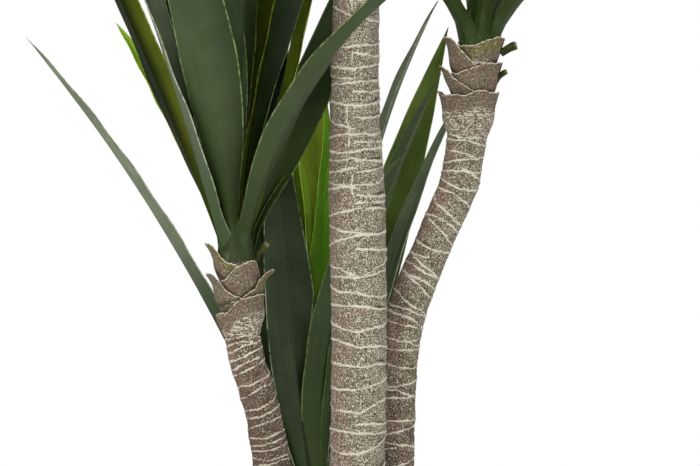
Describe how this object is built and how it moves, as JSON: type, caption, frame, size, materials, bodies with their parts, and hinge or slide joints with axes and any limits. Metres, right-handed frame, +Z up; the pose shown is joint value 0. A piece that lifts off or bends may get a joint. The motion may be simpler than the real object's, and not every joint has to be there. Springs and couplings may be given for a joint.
{
  "type": "potted artificial yucca",
  "caption": "Artificial yucca of several bark-covered canes, each with a neck of cut leaf bases and a head of sword leaves, standing in a plain round filled pot.",
  "frame": {"origin": "middle of the pot's flat underside", "axes": "+Z up, +Y away from the front of the picture, +X to the picture's right"},
  "size_m": [0.9454, 0.809, 1.7575],
  "materials": {
    "bark": "matt, mottled taupe with raised cream rings",
    "husk": "matt, fibrous taupe with pale rims",
    "leaf": "satin dark green with a grey sheen",
    "pot": "matt black moulded plastic",
    "fill": "matt dark brown, crumbly"
  },
  "bodies": {
    "root": {"pot": "pot", "fill": "fill", "left_cane": "bark", "centre_cane": "bark", "right_cane": "bark", "rear_cane": "bark", "left_leaf_bases_1": "husk", "left_leaf_bases_2": "husk", "left_leaf_bases_3": "husk", "centre_leaf_bases_1": "husk", "centre_leaf_bases_2": "husk", "centre_leaf_bases_3": "husk", "right_leaf_bases_1": "husk", "right_leaf_bases_2": "husk", "right_leaf_bases_3": "husk", "rear_leaf_bases_1": "husk", "rear_leaf_bases_2": "husk", "rear_leaf_bases_3": "husk", "left_head_leaves": "leaf", "centre_head_leaves": "leaf", "right_head_leaves": "leaf", "rear_head_leaves": "leaf"}
  },
  "joints": []
}
